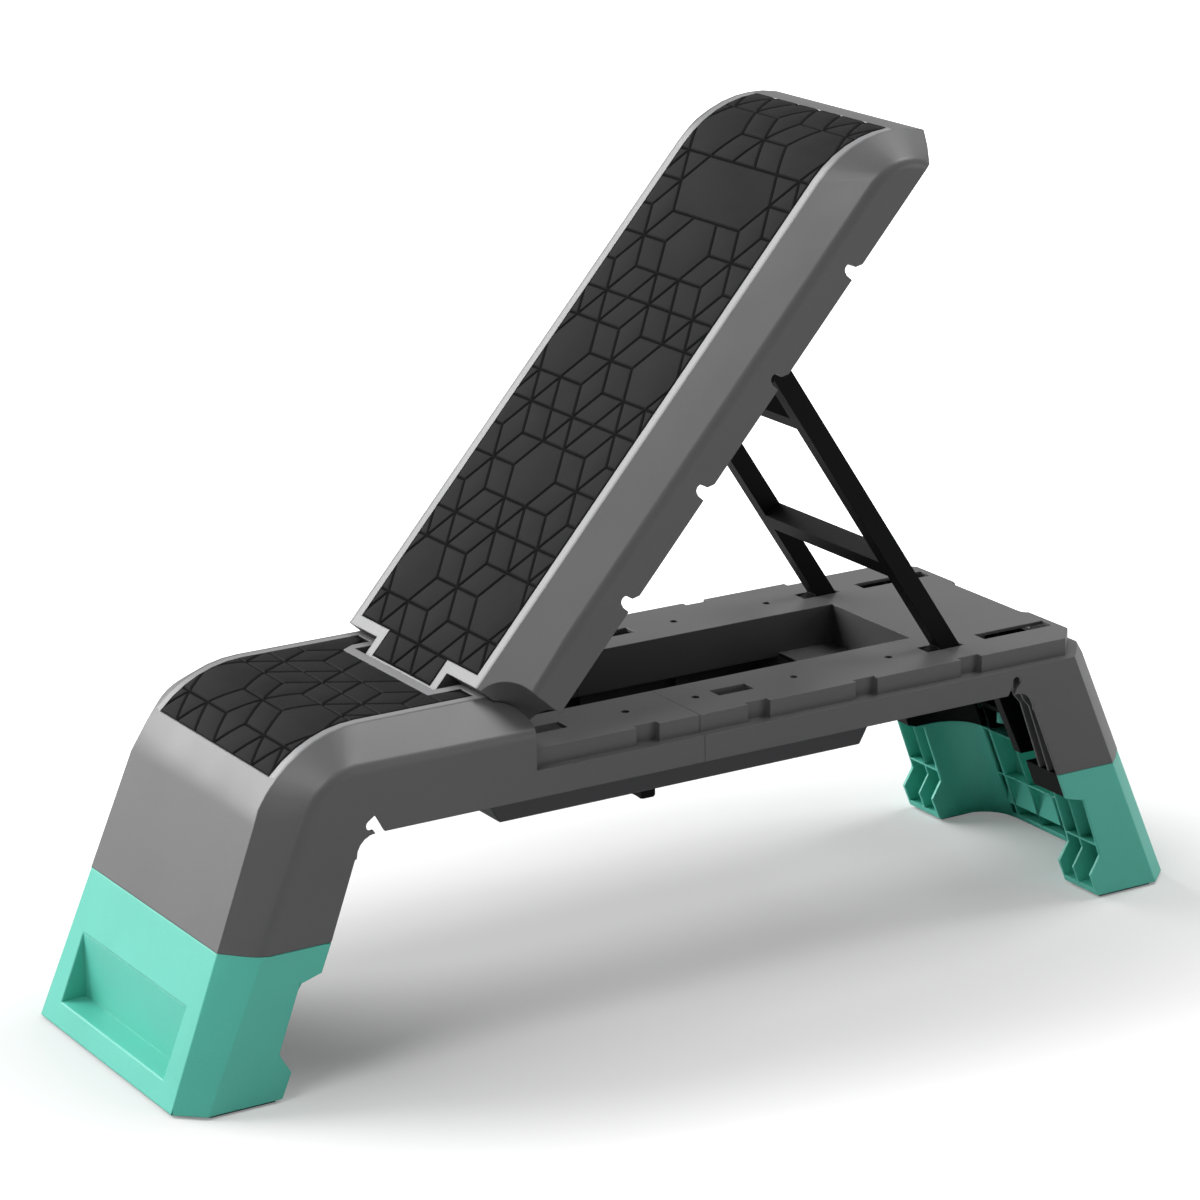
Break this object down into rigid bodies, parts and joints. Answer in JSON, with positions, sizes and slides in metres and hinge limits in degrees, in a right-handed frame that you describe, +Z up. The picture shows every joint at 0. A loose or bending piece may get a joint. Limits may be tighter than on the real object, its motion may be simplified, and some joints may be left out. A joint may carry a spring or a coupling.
{
  "type": "adjustable aerobic step",
  "caption": "Aerobic step on two folding legs, whose rear top lifts as a backrest held by a prop frame in hooked notches.",
  "frame": {"origin": "on the floor, under the middle of the step's length and width", "axes": "+X along the step from the seat end to the rear end, +Z up, Y across"},
  "size_m": [1.2032, 0.3454, 0.859],
  "materials": {
    "grey_shell": "fine grain",
    "green_shell": "satin",
    "black_plastic": "satin",
    "dark_plastic": "matt",
    "mat_rubber": "matt",
    "pad_rubber": "matt",
    "steel": "zinc plated"
  },
  "bodies": {
    "deck": {"front_deck": "grey_shell", "rear_deck": "grey_shell", "under_tray": "dark_plastic", "centre_block": "black_plastic", "tray_screws": "steel", "block_bolts": "steel", "seat_mat": "mat_rubber", "hinge_rod": "steel", "hinge_bushes": "black_plastic", "hinge_clips": "steel", "prop_pivot_pins": "steel", "prop_bracket_near": "dark_plastic", "prop_bracket_far": "dark_plastic", "bracket_screws": "steel", "front_axle": "steel", "rear_axle": "steel", "axle_clips": "steel"},
    "backrest": {"backrest_shell": "grey_shell", "backrest_mat": "mat_rubber"},
    "prop": {"prop_frame": "black_plastic", "prop_top_rod": "steel", "rod_sleeves": "pad_rubber"},
    "front_support": {"front_leg": "green_shell", "front_leg_frame": "black_plastic", "front_leg_screws": "steel", "front_foot_pads": "pad_rubber"},
    "rear_support": {"rear_leg": "green_shell", "rear_leg_frame": "black_plastic", "rear_leg_screws": "steel", "rear_foot_pads": "pad_rubber"}
  },
  "joints": [
    {"name": "backrest_tilt", "type": "hinge", "parent": "deck", "child": "backrest", "pos_m": [-0.25, 0, 0.336], "axis": [0, -1, 0], "range_deg": [0, 41.4]},
    {"name": "prop_fold", "type": "hinge", "parent": "deck", "child": "prop", "pos_m": [0.309, 0, 0.29], "axis": [0, -1, 0], "range_deg": [0, 53]},
    {"name": "front_leg_fold", "type": "hinge", "parent": "deck", "child": "front_support", "pos_m": [-0.381, 0, 0.2616], "axis": [0, -1, 0], "range_deg": [0, 111.7]},
    {"name": "rear_leg_fold", "type": "hinge", "parent": "deck", "child": "rear_support", "pos_m": [0.381, 0, 0.2616], "axis": [0, 1, 0], "range_deg": [0, 111.7]}
  ],
  "couplings": [
    {"joint": "prop_fold", "follows": "backrest_tilt", "ratio": 1.28}
  ]
}
